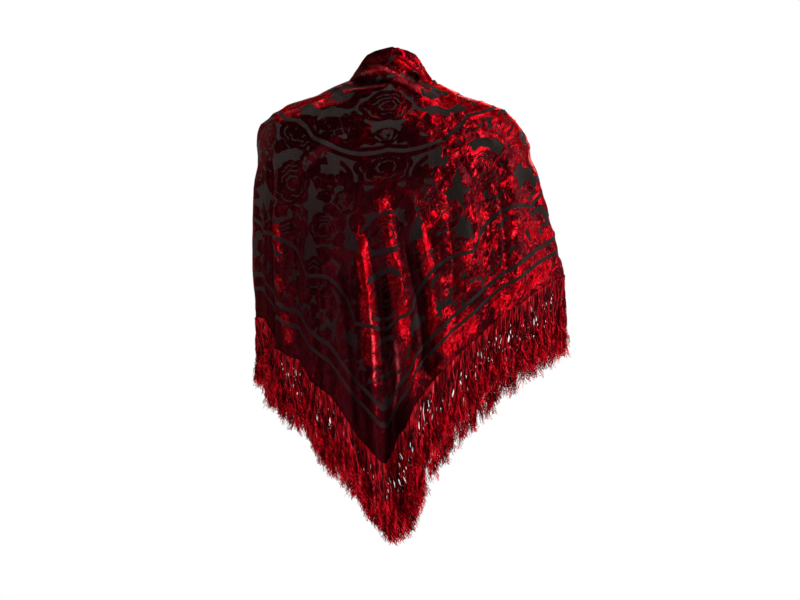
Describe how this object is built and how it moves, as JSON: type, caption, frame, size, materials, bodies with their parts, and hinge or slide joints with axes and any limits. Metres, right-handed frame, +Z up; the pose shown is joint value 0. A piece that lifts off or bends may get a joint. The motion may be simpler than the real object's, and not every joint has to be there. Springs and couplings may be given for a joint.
{
  "type": "silk scarf",
  "caption": "Fringed silk velvet shawl with a burn-out flower pattern, worn round the shoulders with one corner hanging at the back.",
  "frame": {"origin": "middle of the wearer's neck at its base, where the shawl is held up", "axes": "+Z up, +Y the way the wearer faces, so the corner that hangs at the back is towards -Y and +X is on the right of a view from behind"},
  "size_m": [0.5521, 0.2742, 0.8688],
  "materials": {
    "burnout_velvet": "matte",
    "silk_fringe": "satin"
  },
  "bodies": {
    "root": {"neck_roll": "burnout_velvet", "back_fall": "burnout_velvet", "left_side_fall": "burnout_velvet", "right_side_fall": "burnout_velvet", "left_front_fall": "burnout_velvet", "right_front_fall": "burnout_velvet", "fringe_left_front": "silk_fringe", "fringe_left_side": "silk_fringe", "fringe_left_shoulder": "silk_fringe", "fringe_left_back": "silk_fringe", "fringe_right_back": "silk_fringe", "fringe_right_shoulder": "silk_fringe", "fringe_right_side": "silk_fringe", "fringe_right_front": "silk_fringe"}
  },
  "joints": []
}
